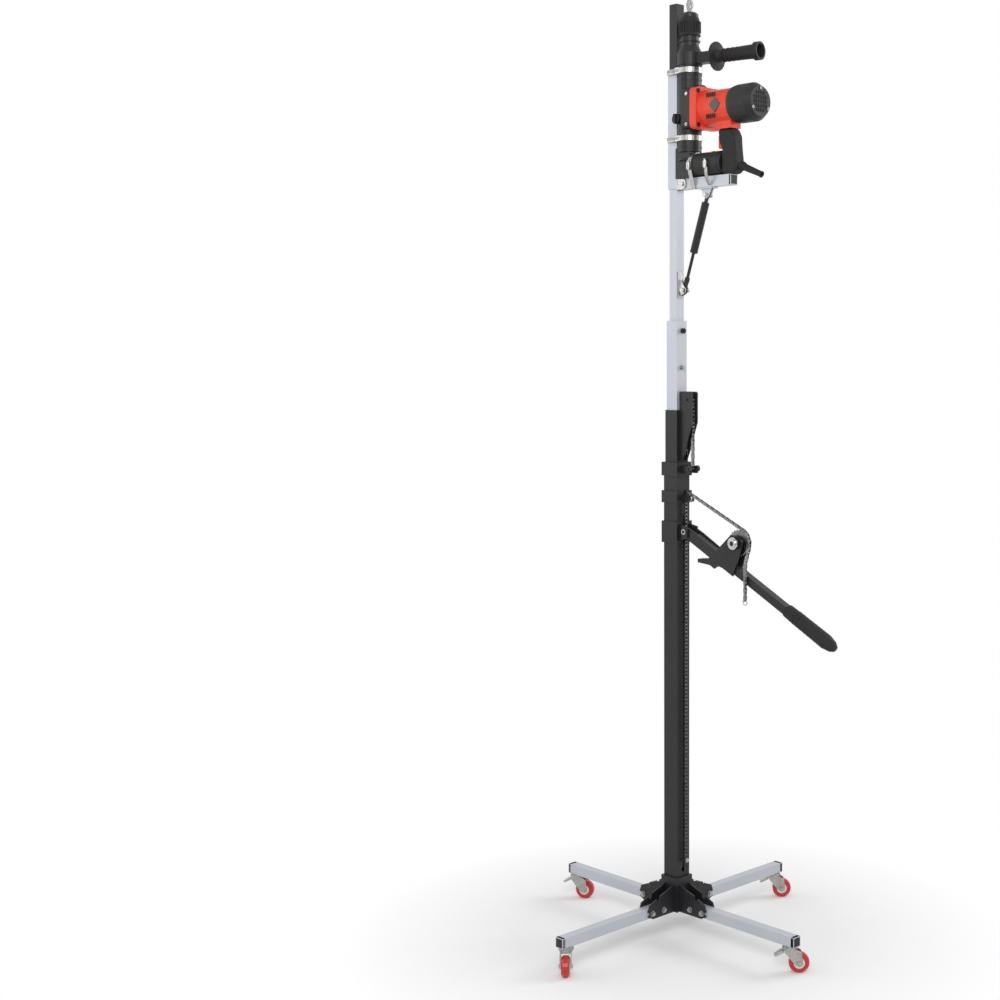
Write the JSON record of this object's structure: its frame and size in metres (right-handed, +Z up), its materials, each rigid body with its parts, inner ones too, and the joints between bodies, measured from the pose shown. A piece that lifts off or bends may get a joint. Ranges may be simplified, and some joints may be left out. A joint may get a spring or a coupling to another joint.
{
  "type": "overhead core drill rig",
  "caption": "Rotary hammer clamped to a sprung carriage on a chain-lifted telescopic mast, with a hand lever and folding caster legs.",
  "frame": {"origin": "middle of the hub's underside, on the column's axis", "axes": "+Z up the column, +X towards the lever, the support arm and the motor"},
  "size_m": [0.9264, 0.831, 2.405],
  "materials": {
    "black_paint": "satin black powder coat",
    "silver_paint": "silver-grey paint",
    "zinc": "bright zinc plate",
    "red_plastic": "satin moulded",
    "black_plastic": "fine moulded grain",
    "rubber": "matt",
    "chain_steel": "oiled dark steel",
    "red_tyre": "polyurethane"
  },
  "bodies": {
    "column": {"hub": "black_paint", "outer_column": "black_paint", "column_clamp": "black_paint", "lever_bracket": "black_paint", "pulley_bracket": "black_paint"},
    "guide_pulley": {"guide_pulley": "zinc"},
    "mid_stage": {"mid_column": "black_paint", "top_bracket": "black_paint", "lift_chain": "chain_steel", "upper_chain": "chain_steel"},
    "top_pulley": {"top_pulley": "zinc"},
    "inner_stage": {"inner_column": "silver_paint", "mast": "silver_paint", "mast_upper": "black_paint", "mast_bolt": "black_plastic", "strut_foot": "zinc"},
    "carriage": {"carriage_sleeve": "silver_paint", "support_arm": "silver_paint", "arm_hinge": "zinc", "strut_head": "silver_paint", "upper_hose_clamp": "zinc", "lower_hose_clamp": "zinc", "grip_hose_clamp": "zinc", "gear_housing": "black_plastic", "motor_housing": "red_plastic", "motor_cap": "black_plastic", "lower_body": "black_plastic", "rear_grip": "rubber", "cord_boot": "rubber", "handle_collar": "black_plastic", "side_handle": "rubber", "chuck_neck": "black_paint"},
    "trigger": {"trigger": "red_plastic"},
    "chuck_sleeve": {"chuck_sleeve": "rubber"},
    "bit": {"drill_bit": "zinc"},
    "mode_knob": {"mode_knob": "black_plastic"},
    "strut_cylinder": {"strut_cylinder": "black_paint"},
    "strut_rod": {"strut_rod": "zinc"},
    "lever": {"lever_arm": "black_paint", "lever_grip": "rubber", "ratchet_frame": "black_paint", "lever_chain": "chain_steel"},
    "sprocket": {"chain_sprocket": "black_paint"},
    "pawl": {"pawl": "black_paint"},
    "right_leg": {"right_leg": "silver_paint"},
    "right_caster": {"right_fork": "zinc"},
    "right_wheel": {"right_wheel": "red_tyre"},
    "right_brake": {"right_brake": "zinc"},
    "rear_leg": {"rear_leg": "silver_paint"},
    "rear_caster": {"rear_fork": "zinc"},
    "rear_wheel": {"rear_wheel": "red_tyre"},
    "rear_brake": {"rear_brake": "zinc"},
    "left_leg": {"left_leg": "silver_paint"},
    "left_caster": {"left_fork": "zinc"},
    "left_wheel": {"left_wheel": "red_tyre"},
    "left_brake": {"left_brake": "zinc"},
    "front_leg": {"front_leg": "silver_paint"},
    "front_caster": {"front_fork": "zinc"},
    "front_wheel": {"front_wheel": "red_tyre"},
    "front_brake": {"front_brake": "zinc"}
  },
  "joints": [
    {"name": "right_leg_fold", "type": "hinge", "parent": "column", "child": "right_leg", "pos_m": [0.064, 0, 0.0145], "axis": [0, -1, 0], "range_deg": [0, 90]},
    {"name": "right_swivel", "type": "hinge", "parent": "right_leg", "child": "right_caster", "pos_m": [0.378, 0, 0.0017], "axis": [0, 0, 1], "continuous": true},
    {"name": "right_wheel_spin", "type": "hinge", "parent": "right_caster", "child": "right_wheel", "pos_m": [0.39356, 0.01556, -0.039], "axis": [-0.7071, 0.7071, 0], "continuous": true},
    {"name": "right_brake_press", "type": "hinge", "parent": "right_caster", "child": "right_brake", "pos_m": [0.36739, -0.01061, -0.0108], "axis": [-0.7071, 0.7071, 0], "range_deg": [-10, 0]},
    {"name": "rear_leg_fold", "type": "hinge", "parent": "column", "child": "rear_leg", "pos_m": [0, 0.064, 0.0145], "axis": [1, 0, 0], "range_deg": [0, 90]},
    {"name": "rear_swivel", "type": "hinge", "parent": "rear_leg", "child": "rear_caster", "pos_m": [0, 0.378, 0.0017], "axis": [0, 0, 1], "continuous": true},
    {"name": "rear_wheel_spin", "type": "hinge", "parent": "rear_caster", "child": "rear_wheel", "pos_m": [0.01556, 0.39356, -0.039], "axis": [-0.7071, 0.7071, 0], "continuous": true},
    {"name": "rear_brake_press", "type": "hinge", "parent": "rear_caster", "child": "rear_brake", "pos_m": [-0.01061, 0.36739, -0.0108], "axis": [-0.7071, 0.7071, 0], "range_deg": [-10, 0]},
    {"name": "left_leg_fold", "type": "hinge", "parent": "column", "child": "left_leg", "pos_m": [-0.064, 0, 0.0145], "axis": [0, 1, 0], "range_deg": [0, 90]},
    {"name": "left_swivel", "type": "hinge", "parent": "left_leg", "child": "left_caster", "pos_m": [-0.378, 0, 0.0017], "axis": [0, 0, 1], "continuous": true},
    {"name": "left_wheel_spin", "type": "hinge", "parent": "left_caster", "child": "left_wheel", "pos_m": [-0.35895, 0.011, -0.039], "axis": [-0.5, 0.866, 0], "continuous": true},
    {"name": "left_brake_press", "type": "hinge", "parent": "left_caster", "child": "left_brake", "pos_m": [-0.39099, -0.0075, -0.0108], "axis": [-0.5, 0.866, 0], "range_deg": [-10, 0]},
    {"name": "front_leg_fold", "type": "hinge", "parent": "column", "child": "front_leg", "pos_m": [0, -0.064, 0.0145], "axis": [-1, 0, 0], "range_deg": [0, 90]},
    {"name": "front_swivel", "type": "hinge", "parent": "front_leg", "child": "front_caster", "pos_m": [0, -0.378, 0.0017], "axis": [0, 0, 1], "continuous": true},
    {"name": "front_wheel_spin", "type": "hinge", "parent": "front_caster", "child": "front_wheel", "pos_m": [0.01556, -0.39356, -0.039], "axis": [0.7071, 0.7071, 0], "continuous": true},
    {"name": "front_brake_press", "type": "hinge", "parent": "front_caster", "child": "front_brake", "pos_m": [-0.01061, -0.36739, -0.0108], "axis": [0.7071, 0.7071, 0], "range_deg": [-10, 0]},
    {"name": "mid_lift", "type": "slide", "parent": "column", "child": "mid_stage", "axis": [0, 0, 1], "range_m": [0, 0.6], "deforming": ["lift_chain", "upper_chain"]},
    {"name": "inner_lift", "type": "slide", "parent": "mid_stage", "child": "inner_stage", "axis": [0, 0, 1], "range_m": [0, 0.6]},
    {"name": "guide_pulley_spin", "type": "hinge", "parent": "column", "child": "guide_pulley", "pos_m": [0.0435, 0, 1.053], "axis": [0, 1, 0], "continuous": true},
    {"name": "top_pulley_spin", "type": "hinge", "parent": "mid_stage", "child": "top_pulley", "pos_m": [0.0435, 0, 1.297], "axis": [0, 1, 0], "continuous": true},
    {"name": "carriage_slide", "type": "slide", "parent": "inner_stage", "child": "carriage", "axis": [0, 0, 1], "range_m": [-0.06, 0], "stiffness_N_per_m": 300, "springref_m": 0.35},
    {"name": "strut_hinge", "type": "hinge", "parent": "carriage", "child": "strut_cylinder", "pos_m": [0.104, 0, 1.79], "axis": [0, 1, 0], "range_deg": [-0.2, 6.32]},
    {"name": "strut_stroke", "type": "slide", "parent": "strut_cylinder", "child": "strut_rod", "axis": [0.3238, 0, 0.9461], "range_m": [-0.0005, 0.0562]},
    {"name": "lever_swing", "type": "hinge", "parent": "column", "child": "lever", "pos_m": [0.044, 0, 0.971], "axis": [0, 1, 0], "range_deg": [-55, 30], "deforming": ["lever_chain"]},
    {"name": "sprocket_spin", "type": "hinge", "parent": "lever", "child": "sprocket", "pos_m": [0.21025, 0, 0.95587], "axis": [0, 1, 0], "continuous": true},
    {"name": "pawl_release", "type": "hinge", "parent": "lever", "child": "pawl", "pos_m": [0.13648, 0, 0.89919], "axis": [0, 1, 0], "range_deg": [0, 10], "stiffness_Nm_per_rad": 0.5, "springref_deg": -11.46},
    {"name": "trigger_press", "type": "slide", "parent": "carriage", "child": "trigger", "axis": [1, 0, 0], "range_m": [0, 0.004], "stiffness_N_per_m": 300, "springref_m": -0.003},
    {"name": "chuck_pull", "type": "slide", "parent": "carriage", "child": "chuck_sleeve", "axis": [0, 0, -1], "range_m": [0, 0.008], "stiffness_N_per_m": 1500, "springref_m": -0.004},
    {"name": "bit_spin", "type": "hinge", "parent": "carriage", "child": "bit", "pos_m": [0.0443, 0, 2.216], "axis": [0, 0, 1], "continuous": true},
    {"name": "mode_turn", "type": "hinge", "parent": "carriage", "child": "mode_knob", "pos_m": [0.0343, -0.0293, 1.974], "axis": [0, 1, 0], "range_deg": [-90, 90]}
  ],
  "couplings": [
    {"joint": "inner_lift", "follows": "mid_lift", "ratio": 1},
    {"joint": "guide_pulley_spin", "follows": "mid_lift", "rad_per_m": 83.333},
    {"joint": "top_pulley_spin", "follows": "mid_lift", "rad_per_m": 83.333},
    {"joint": "strut_hinge", "follows": "carriage_slide", "rad_per_m": -1.7816},
    {"joint": "strut_stroke", "follows": "carriage_slide", "ratio": -0.9288},
    {"joint": "sprocket_spin", "follows": "mid_lift", "rad_per_m": 29.984}
  ]
}
